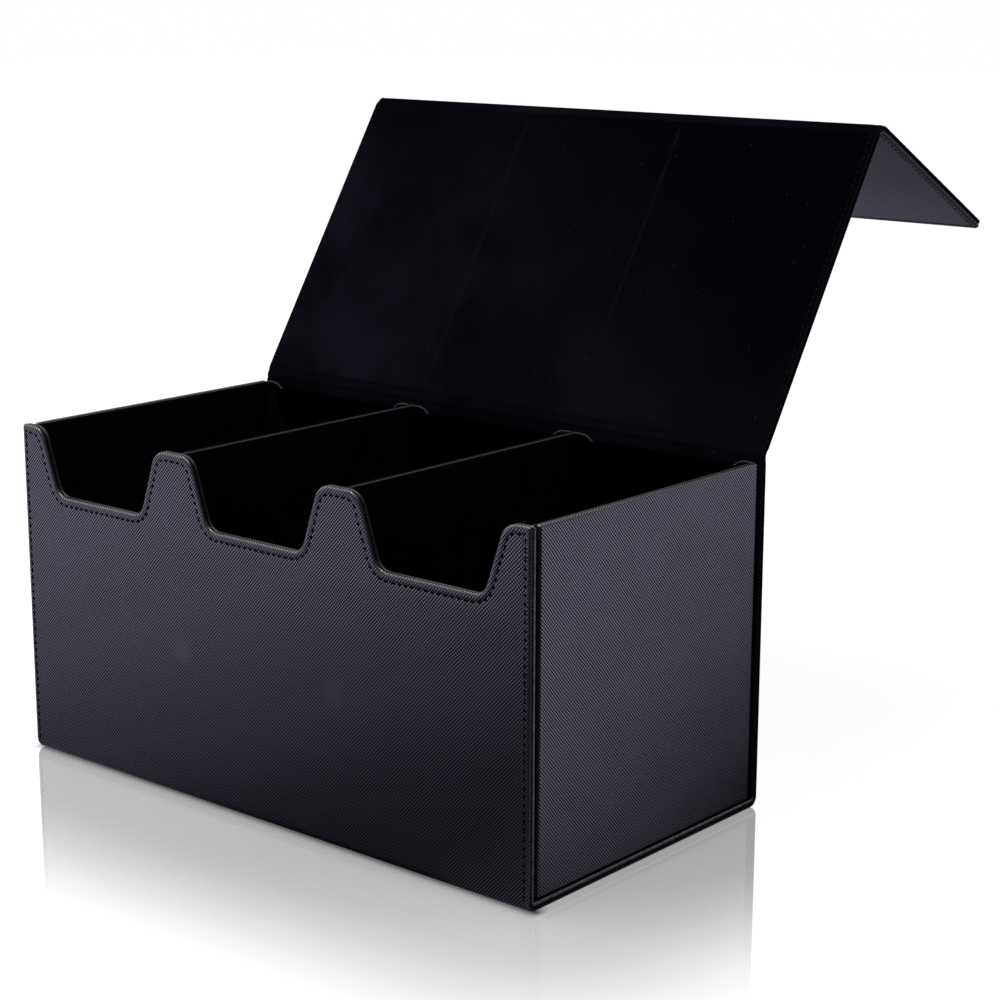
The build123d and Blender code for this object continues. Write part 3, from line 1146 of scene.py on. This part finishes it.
@dataclass
class Cover:
    """The long cover: front, bottom, back, lid and flap, each of leather outside and lining inside."""

    sizes: CoverSizes
    path: CoverPath
    edges: CoverEdges
    stitch: Stitch = Stitch()
    flat_steps: int = 6
    fold_steps: int = 10
    hinge_steps: int = 22
    seam_points: int = 400
    seam_sunk: float = 0.18
    seam_inside: float = 0.12
    side_near: float = 2.0
    side_upright: float = 0.7
    ridge: float = 0.35
    ridge_outside: float = -0.35
    ridge_waves: float = 1.5
    ridge_skin: float = 0.5
    pinch: float = 0.5
    hinge_stiff: float = 0.07
    lid_rub_start: float = 8.0
    lid_rub_end: float = 1.0
    # Way of the lid suede's painted light gradient: lighter to the left and towards the lid's hinge
    lid_light_way: Flat = (-0.0055, -0.0105)

    def stations(self, *stretches: Stretch) -> Array:
        """Distances along the cover for cross-sections: many on arcs and few on straight stretches.

        Args:
            stretches: Neighbouring stretches.

        Returns:
            Distances in order.
        """
        parts = []
        for stretch in stretches:
            hinge = stretch in (Stretch.LID_HINGE, Stretch.FLAP_HINGE)
            bent = self.path.turns[stretch.value] != 0.0
            count = self.hinge_steps if hinge else self.fold_steps if bent else self.flat_steps
            parts.append(np.linspace(self.path.start(stretch) + HAIR, self.path.end(stretch) - HAIR, count))
        return np.concatenate(parts)

    def front_outline(self) -> Outline:
        """The front wall's outline, from the left foot over the humps to the right foot."""
        return self.sizes.humped(0.0, -self.sizes.cutout_depth, HAIR - self.path.end(Stretch.FRONT)).flipped()

    def flap_outline(self) -> Outline:
        """The flap's outline, from the hinge round its free edge and back.

        Returns:
            The outline.
        """
        half, start, end = self.sizes.half_width, self.path.start(Stretch.FLAP), self.path.end(Stretch.FLAP)
        corners = [(half, -start - HAIR), (half, -end), (-half, -end), (-half, -start - HAIR)]
        return Outline.rounded(corners, [self.sizes.flap_corner] * 2, self.sizes.plain_step).flipped()

    def band(self, cut: Outline | Array) -> Array | float:
        """Distance of the stitching from the edge: narrow along the box's sides, wider round the cut-outs.

        Args:
            cut: An outline, or distances along a strip.

        Returns:
            One distance for each point of an outline, and one for all of a strip.
        """
        if not isinstance(cut, Outline):
            return self.sizes.side_stitch_inset
        near = np.abs(cut.points[:, 0]) > self.sizes.half_width - self.side_near
        at_side = near & (np.abs(cut.normals[:, 0]) > self.side_upright)
        return np.where(at_side, self.sizes.side_stitch_inset, self.sizes.stitch_inset)

    def creased(self, stretch: Stretch, layer: Layer) -> Placing:
        """Placing for a hinge strip: its depth rises in a soft ridge, and its width draws in a little midway.

        Args:
            stretch: The hinge.
            layer: Which layer is placed.

        Returns:
            A function of flat points.
        """
        start, end = self.path.start(stretch), self.path.end(stretch)
        inner = layer is Layer.LINING

        def placing(points: Array) -> Array:
            """Adds a cosine wave under a squared sine hill to the seen face's depth, then wraps the strip.

            Args:
                points: Flat points.

            Returns:
                Points in the row frame.
            """
            share = np.clip((points[:, 1] - start) / (end - start), 0.0, 1.0)
            hill = np.sin(math.pi * share) ** 2
            skin = self.ridge_skin
            shown = points[:, 2] > self.sizes.panel - skin if inner else points[:, 2] < skin
            wave = np.cos(math.tau * self.ridge_waves * (share - 0.5))
            lift = self.ridge * hill * wave * (1.0 if inner else self.ridge_outside)
            moved = points.copy()
            moved[:, 2] += np.where(shown, lift, 0.0)
            moved[:, 0] *= 1.0 - self.pinch * hill / self.sizes.half_width
            return self.path.place(moved)

        return placing

    def hinge(self, name: str, stretch: Stretch, bodies: tuple[Body, Body]) -> None:
        """Both strips of a hinge, placed on the cover's path.

        Args:
            name: First word of the nodes' names.
            stretch: The hinge's stretch.
            bodies: The two bodies; not used.
        """
        along, middle = self.stations(stretch), self.sizes.panel / 2
        ends = self.path.place(np.array([[0.0, along[0], middle], [0.0, along[-1], middle]])) * MM
        sheets = {
            Layer.LEATHER: (self.edges.leather(self.band(along)), HINGE_LEATHER, Slot.LEATHER),
            Layer.LINING: (self.edges.lining(False), DARK_SUEDE, Slot.SUEDE),
        }
        for layer, (rows, finish, slot) in sheets.items():
            surface = rows.strip(self.sizes.half_width, along).placed(self.creased(stretch, layer))
            made = surface.stand_in(f"{name}_hinge_{layer.value}", [finish], slot)
            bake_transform(made)

    def build(self) -> None:
        """Builds every sheet of the cover and its stitching."""
        size, front = self.sizes, self.front_outline()
        base = self.stations(Stretch.FRONT_FOLD, Stretch.BASE, Stretch.BACK_FOLD)
        lid = self.stations(Stretch.LID)
        lid_suede = replace(
            DARK_SUEDE, name="black_suede_lid", rubbed_lines=(-size.row_pitch / 2, size.row_pitch / 2),
            rubbed_from=float(lid[0]) + self.lid_rub_start, rubbed_to=float(lid[-1]) - self.lid_rub_end,
            light_way=self.lid_light_way, light_middle=(0.0, float(lid.mean())),
        )
        sheets = [
            Sheet("front", Body.BOX, front, FRONT_LEATHER, SUEDE, True),
            Sheet("base", Body.BOX, base, COVER_LEATHER, SUEDE, True),
            Sheet("back", Body.BOX, self.stations(Stretch.BACK), COVER_LEATHER, DARK_SUEDE),
            Sheet("lid", Body.LID, lid, COVER_LEATHER, lid_suede),
            Sheet("flap", Body.FLAP, self.flap_outline(), FLAP_LEATHER, DARK_SUEDE),
        ]
        for sheet in sheets:
            surface = self.edges.leather(self.band(sheet.cut)).cut(sheet.cut, size.half_width).placed(self.path.place)
            made = surface.stand_in(f"{sheet.name}_leather", [sheet.leather], Slot.LEATHER)
            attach(made, sheet.body.value)
        for sheet in sheets:
            surface = self.edges.lining(sheet.bound).cut(sheet.cut, size.half_width).placed(self.path.place)
            made = surface.stand_in(f"{sheet.name}_lining", [sheet.lining, BOUND_EDGE], Slot.SUEDE)
            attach(made, sheet.body.value)
        self.hinge("lid", Stretch.LID_HINGE, (Body.BOX, Body.LID))
        self.hinge("flap", Stretch.FLAP_HINGE, (Body.LID, Body.FLAP))
        self.sew(front)

    def sew(self, front: Outline) -> None:
        """Sews the cover along its free edges, one piece of thread for each body.

        Args:
            front: The front's outline.
        """
        dip, inside = self.edges.dip, self.sizes.panel - self.seam_inside
        line = front.inset(self.band(front)[None])[0]
        folds = (Stretch.FRONT_FOLD, Stretch.BASE, Stretch.BACK_FOLD)
        under = self.side_seams(dip + self.seam_sunk, Face.OUTSIDE, *folds)
        over = {
            stretch: self.side_seams(dip, Face.OUTSIDE, stretch) + self.side_seams(inside, Face.INSIDE, stretch)
            for stretch in (Stretch.LID, Stretch.FLAP)
        }
        seams = {
            Body.BOX: [self.seam(line, dip, Face.OUTSIDE)] + under + self.side_seams(dip, Face.OUTSIDE, Stretch.BACK),
            Body.LID: over[Stretch.LID],
            Body.FLAP: over[Stretch.FLAP],
        }
        for body, parts in seams.items():
            surface = Surface.joined(parts).placed(self.path.place)
            made = surface.piece(f"{body.value}_stitching", [THREAD], Slot.LEATHER)
            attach(made, body.value)

    def seam(self, line: Array, depth: float, face: Face) -> Surface:
        """Stitches along a line at one depth of the cloth, which show on one face."""
        return self.stitch.sewn(np.column_stack([line, np.full(len(line), depth)]), face, self.sizes.stitch_pitch)

    def side_seams(self, depth: float, face: Face, *stretches: Stretch) -> list[Surface]:
        """Stitches along both long sides of some stretches.

        Args:
            depth: Depth of the cloth that is sewn.
            face: The face that shows the stitches.
            stretches: Neighbouring stretches.

        Returns:
            Two seams.
        """
        along = np.linspace(self.path.start(stretches[0]), self.path.end(stretches[-1]), self.seam_points)
        across = np.full(self.seam_points, self.sizes.half_width - self.sizes.side_stitch_inset)
        return [self.seam(np.column_stack([side * across, along]), depth, face) for side in (-1.0, 1.0)]


@dataclass
class SideWall:
    """One side wall: a leather-covered face that stands back from the cover, and suede inside."""

    sizes: CoverSizes
    side: float
    name: str
    corner: float = 1.0
    reach: float = 3.4
    foot_gap: float = 0.05
    lining_drop: float = 0.25

    def place(self, points: Array) -> Array:
        """Flat points to the wall: the first runs along Y, the second up, the third is depth below the face."""
        across, up, depth = points.T
        return np.column_stack([self.side * (self.sizes.side_face - depth), self.side * across, up])

    def outline(self, half: float, foot: float, top: float) -> Outline:
        """A closed rectangle with rounded corners, walked clockwise."""
        corners = [(0.0, foot), (-half, foot), (-half, top), (half, top), (half, foot), (0.0, foot)]
        return Outline.rounded(corners, [self.corner] * 4, self.sizes.plain_step, True)

    def build(self) -> None:
        """Builds the leather face and the suede sheet."""
        size, far, back = self.sizes, self.reach, self.sizes.turned_in
        half = size.depth / 2 - size.panel
        face = self.outline(half - size.channel, size.panel + size.foot_channel, size.wall_top)
        angles = np.linspace(0.0, 90.0, 7)
        skin = EdgeRows.of([
            (far, 0.0, 0.0), (2.0, -0.02, 0.25),
            *arc_rows(size.edge_round, angles, 0.55 + 0.45 * np.sin(np.radians(angles))),
            (0.0, 2.0, 0.9), (0.25, 2.3, 0.6), (0.76, 2.36, 0.5), (0.78, back, 0.5), (far, back, 0.0),
        ])
        sheet = self.outline(half, size.panel + self.foot_gap, size.wall_top - self.lining_drop)
        # Its bands place the suede's painted edge highlight
        cloth = EdgeRows.of([
            (far, size.tray, 0.0), (0.3, size.tray, 0.3), (0.08, size.tray + 0.12, 0.7), (0.0, size.tray + 0.5, 0.9),
            (0.08, size.panel - 0.25, 1.0), (0.35, size.panel - 0.03, 0.6), (far, size.panel, 0.0),
        ])
        for layer, rows, outline, finish, slot in (
            (Layer.LEATHER, skin, face, SIDE_LEATHER, Slot.LEATHER), (Layer.LINING, cloth, sheet, SUEDE, Slot.SUEDE),
        ):
            surface = rows.carried(outline).placed(self.place)
            made = surface.stand_in(f"{self.name}_side_{layer.value}", [finish], slot)
            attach(made, Body.BOX.value)


@dataclass
class RearPanel:
    """The humped panel in front of the back wall, wrapped in suede."""

    sizes: CoverSizes
    turn: float = 0.7
    reach: float = 3.0
    foot_gap: float = 0.4

    def place(self, points: Array) -> Array:
        """Flat points to the panel: across, up, and depth behind its front face."""
        across, up, depth = points.T
        return np.column_stack([across, self.sizes.rear_face + depth, up])

    def build(self) -> None:
        """Carries a rounded section along the humped outline."""
        size = self.sizes
        outline = size.humped(size.wall_top, size.wall_top - size.cutout_depth, size.panel + self.foot_gap)
        half = size.side_face - size.panel
        outline.points[:, 0] = np.clip(outline.points[:, 0], -half, half)
        thick = size.suede + size.board
        angles = np.linspace(0.0, 90.0, 5)
        # Bands strongest halfway round the edge place the suede's painted highlight
        front = arc_rows(self.turn, angles, 0.45 + 0.55 * np.sin(2 * np.radians(angles)) ** 2)
        rear = [(inset, thick - depth, band) for inset, depth, band in reversed(front)]
        rows = EdgeRows.of([(self.reach, 0.0, 0.0), (1.6, 0.0, 0.2), *front, *rear, (self.reach, thick, 0.0)])
        made = rows.carried(outline).placed(self.place).stand_in("rear_panel_suede", [SUEDE], Slot.SUEDE)
        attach(made, Body.BOX.value)


@dataclass
class Divider:
    """One fixed divider under a suede sleeve that is folded over its top."""

    sizes: CoverSizes
    side: float
    name: str
    turn: float = 1.0
    foot_gap: float = 0.05
    shoulder: float = 3.0
    arc_steps: int = 6
    sections: int = 24

    def build(self) -> None:
        """Carries the sleeve's section, an upside-down U, from the front wall to the rear panel."""
        size, top = self.sizes, self.sizes.wall_top
        half = size.divider_board / 2 + size.suede
        angles = np.radians(np.linspace(0.0, 90.0, self.arc_steps))
        arc = np.stack([self.turn * (1 - np.cos(angles)) - half, top - self.turn * (1 - np.sin(angles))], axis=1)
        lower = np.array([[-half, size.panel + self.foot_gap], [-half, top - self.shoulder]])
        section = both(np.concatenate([lower, arc]), np.array([-1.0, 1.0]))
        # Band that paints a highlight halfway round the sleeve's rounded top
        glow = both(np.concatenate([[0.0, 0.0], 0.4 + 0.6 * np.sin(angles * 2) ** 2]))
        along = np.linspace(size.panel - size.depth / 2, size.rear_face, self.sections)
        middle = np.array([self.side * size.row_pitch / 2, 0.0])
        sleeve = Surface.swept(section + middle, run_of(section), glow, along, [0] * len(section), 0)
        sleeve.cloth = sleeve.cloth[:, ::-1]
        made = sleeve.stand_in(f"{self.name}_divider_sleeve", [SUEDE], Slot.SUEDE)
        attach(made, Body.BOX.value)


@dataclass(frozen=True)
class Core:
    """The boards and magnets inside the cover, which keep their CAD shape."""

    board: Finish = GREY_BOARD
    magnets: Finish = NICKEL

    def dress(self) -> None:
        """Gives every board and magnet node its material, by the last word of its name."""
        finishes = {"board": self.board, "magnets": self.magnets}
        for name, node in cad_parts.items():
            finish = finishes.get(name.split("_")[-1])
            if finish is not None:
                node.data.materials.clear()
                node.data.materials.append(finish.material())
                log.info("%s: %s", name, finish.name)


@dataclass(frozen=True)
class Softbox:
    """A soft rectangular lamp, in metres and watts."""

    name: str
    place: Spot
    size: Flat
    power: float

    def hang(self, aim: Vector) -> None:
        """Puts the lamp in its place and turns it to a point.

        Args:
            aim: The point that it looks at.
        """
        data = bpy.data.lights.new(self.name, "AREA")
        data.shape, data.size, data.size_y, data.energy = "RECTANGLE", *self.size, self.power
        made = bpy.data.objects.new(self.name, data)
        made.location = self.place
        made.rotation_euler = (aim - Vector(self.place)).to_track_quat("-Z", "Y").to_euler()
        made.visible_camera = False
        bpy.context.scene.collection.objects.link(made)


@dataclass(frozen=True)
class Glow:
    """White floor that the box mirrors on one side: it grows with the distance beyond a line, in metres."""

    way: Spot
    start: float
    rise: float


@dataclass
class Studio:
    """Camera, floor, lights and world; the camera in millimetres, the floor in metres."""

    sizes: CoverSizes
    camera_place: Spot = (654.239, -693.321, 348.884)
    camera_right: Spot = (0.762200, 0.647337, 0.002419)
    camera_up: Spot = (-0.150513, 0.173581, 0.973251)
    camera_back: Spot = (0.629601, -0.742176, 0.229736)
    lens: float = 82.489
    sensor: float = 36.0
    clip: Flat = (0.01, 50.0)
    floor_half: float = 6.0
    floor_height: float = -0.0002
    floor_white: float = 0.86
    floor_whole: float = 1.25
    floor_matte: float = 0.8
    shine_from: float = 0.03
    shine_reach: float = 0.155
    shine: float = 0.61
    near_way: Spot = (0.65, -0.76, 0.0)
    near_from: float = 0.08
    near_to: float = 0.26
    near_most: float = 1.06
    near_least: float = 0.7
    fold_shade: float = 0.92
    fold_shade_reach: float = 0.0085
    fold_shade_side: float = 0.004
    left_glow: Glow = Glow((-0.95, -0.31, 0.0), 0.02, 1.85)
    right_glow: Glow = Glow((0.94, -0.34, 0.0), 0.11, 5.8)
    right_front: float = -0.18
    right_fade: float = 0.2
    back_glow: Glow = Glow((-0.5, 0.87, 0.0), 0.2, 1.7)
    glow_tint: Colour = (0.76, 0.76, 1.0, 1.0)
    backdrop_way: Spot = (-0.64, 0.76, 0.12)
    backdrop_span: Flat = (0.05, 0.55)
    room_span: Flat = (-0.7, -0.2)
    room_shine: float = 0.2
    room_dark: float = 0.04
    room_light: float = 0.4
    softboxes: tuple[Softbox, ...] = (
        Softbox("left_softbox", (-0.6, -0.4, 0.45), (0.5, 0.5), 1.0),
        Softbox("top_softbox", (-0.3, -0.45, 1.6), (1.2, 0.9), 19.0),
    )

    def build(self) -> None:
        """Sets up everything round the object."""
        self.camera()
        self.floor()
        self.world()
        aim = Vector((0.0, 0.0, 0.5 * self.sizes.height * MM))
        for softbox in self.softboxes:
            softbox.hang(aim)
        bpy.context.scene.view_settings.view_transform = "Standard"

    def camera(self) -> None:
        """Puts the camera where the photograph was taken from."""
        data = bpy.data.cameras.new("camera")
        data.lens, data.sensor_width = self.lens, self.sensor
        data.clip_start, data.clip_end = self.clip
        made = bpy.data.objects.new("camera", data)
        turned = Matrix((self.camera_right, self.camera_up, self.camera_back)).transposed().to_4x4()
        made.matrix_world = Matrix.Translation(Vector(self.camera_place) * MM) @ turned
        bpy.context.scene.collection.objects.link(made)
        bpy.context.scene.camera = made

    def floor(self) -> None:
        """A plain white floor whose polish shows the box for a hand's breadth round its foot."""
        mesh = bpy.data.meshes.new("floor")
        corners = self.floor_half * np.array([[-1.0, -1.0, 0.0], [1.0, -1.0, 0.0], [1.0, 1.0, 0.0], [-1.0, 1.0, 0.0]])
        mesh.from_pydata(corners.tolist(), [], [[0, 1, 2, 3]])
        made = bpy.data.objects.new("floor", mesh)
        made.location.z = self.floor_height
        bpy.context.scene.collection.objects.link(made)
        material = bpy.data.materials.new("white_floor")
        self.floor_shader(Wiring(material))
        mesh.materials.append(material)

    def floor_shader(self, wiring: Wiring) -> None:
        """The camera sees white, shadows and a mirror near the box; the box mirrors a glow; other rays meet matte grey.

        Args:
            wiring: Adds nodes to the floor's material.
        """
        spot, rays = wiring.spot(), wiring.node("LightPath").outputs
        camera = rays["Is Camera Ray"]
        along = wiring.vector("DOT_PRODUCT", spot, (0.0, 1.0, 0.0))
        half = (self.sizes.half_width * MM, 0.5 * self.sizes.depth * MM, 0.0)
        away = wiring.vector("SUBTRACT", wiring.vector("ABSOLUTE", spot), half)
        away = wiring.vector("MAXIMUM", away, (0.0, 0.0, 0.0))
        distance = wiring.vector("LENGTH", wiring.vector("MULTIPLY", away, (1.0, 1.0, 0.0)))
        near = wiring.vector("DOT_PRODUCT", spot, self.near_way)
        polish = wiring.times(wiring.span(distance, self.shine_from, self.shine_reach, self.shine, 0.0),
                              wiring.span(near, self.near_from, self.near_to, self.near_most, self.near_least))
        white = wiring.node("Emission", {
            "Color": wiring.blend(camera, self.glow_tint, grey(1.0)),
            "Strength": wiring.span(camera, 0.0, 1.0, self.floor_glow(wiring, spot, along), self.floor_white),
        }).outputs[0]
        gloss = wiring.node("BsdfGlossy", {"Color": grey(1.0), "Roughness": 0.0}).outputs[0]
        matte = wiring.node("BsdfDiffuse", {"Color": grey(self.floor_matte)}).outputs[0]
        faint = wiring.node("BsdfDiffuse", {"Color": grey(self.floor_whole - self.floor_white)}).outputs[0]
        dark = wiring.node("Emission", {"Strength": 0.0}).outputs[0]
        ground = wiring.node("AddShader", {0: white, 1: faint}).outputs[0]
        shown = wiring.mixed(polish, ground, gloss)
        shaded = wiring.mixed(self.fold_shadow(wiring, along, away), shown, dark)
        mirrored = wiring.math("MAXIMUM", rays["Is Glossy Ray"], rays["Is Transmission Ray"])
        lit = wiring.mixed(mirrored, matte, white)
        wiring.node("OutputMaterial", {"Surface": wiring.mixed(camera, lit, shaded)})

    def floor_glow(self, wiring: Wiring, spot: Socket, along: Socket) -> Socket:
        """How white the floor is in the box's own shine: painted shade close by, and whiter away from it on three
        sides.

        Args:
            wiring: Adds nodes to the floor's material.
            spot: Object coordinates.
            along: The place along Y.

        Returns:
            The strength's socket, from 0 to 1.
        """
        beside = wiring.span(along, self.right_front, self.right_front + self.right_fade)
        total = 0.0
        for glow, share in ((self.left_glow, 1.0), (self.right_glow, beside), (self.back_glow, 1.0)):
            beyond = wiring.math("SUBTRACT", wiring.vector("DOT_PRODUCT", spot, glow.way), glow.start)
            grown = wiring.math("MULTIPLY", beyond, glow.rise, clamp=True)
            total = wiring.math("ADD", total, wiring.times(grown, share))
        return wiring.math("MINIMUM", total, 1.0)

    def fold_shadow(self, wiring: Wiring, along: Socket, away: Socket) -> Socket:
        """A soft dark line on the floor under the front fold: the square of the nearness to it.

        Args:
            wiring: Adds nodes to the floor's material.
            along: The place along Y.
            away: How far a point lies outside the box's foot, along X and Y.

        Returns:
            The shade's socket.
        """
        fold = (0.5 * self.sizes.depth - self.sizes.fold) * MM
        before = wiring.math("ABSOLUTE", wiring.math("SUBTRACT", wiring.times(along, -1.0), fold))
        near = wiring.math("SUBTRACT", 1.0, wiring.math("DIVIDE", before, self.fold_shade_reach), clamp=True)
        aside = wiring.vector("LENGTH", wiring.vector("MULTIPLY", away, (1.0, 0.0, 0.0)))
        under = wiring.span(aside, 0.0, self.fold_shade_side, 1.0, 0.0)
        return wiring.times(near, near, under, self.fold_shade)

    def world(self) -> None:
        """White for the camera, a white backdrop and a dim room for reflections, and even grey light from all round."""
        made = bpy.data.worlds.new("white_room")
        bpy.context.scene.world = made
        wiring = Wiring(made)
        rays = wiring.node("LightPath").outputs
        camera = rays["Is Camera Ray"]
        mirrored = wiring.math("MAXIMUM", rays["Is Glossy Ray"], rays["Is Transmission Ray"])
        behind = wiring.vector("DOT_PRODUCT", wiring.node("TexCoord").outputs["Generated"], self.backdrop_way)
        room = wiring.span(behind, *self.room_span, self.room_dark, self.room_shine)
        backdrop = wiring.span(behind, *self.backdrop_span, room, 1.0)
        straight = wiring.math("MAXIMUM", camera, rays["Is Singular Ray"])
        shine = wiring.math("MAXIMUM", backdrop, straight)
        strength = wiring.span(wiring.math("MAXIMUM", camera, mirrored), 0.0, 1.0, self.room_light, shine)
        light = wiring.node("Background", {"Color": grey(1.0), "Strength": strength})
        wiring.node("OutputWorld", {"Surface": light.outputs[0]})


def main() -> None:
    """Builds the sub-assemblies in order."""
    logging.basicConfig(level=logging.INFO, format="%(message)s")
    sizes = CoverSizes()
    Cover(sizes, CoverPath(sizes), CoverEdges(sizes)).build()
    for name, side in (("left", -1.0), ("right", 1.0)):
        SideWall(sizes, side, name).build()
        Divider(sizes, side, name).build()
    RearPanel(sizes).build()
    Core().dress()
    Studio(sizes).build()


if __name__ == "__main__":
    main()
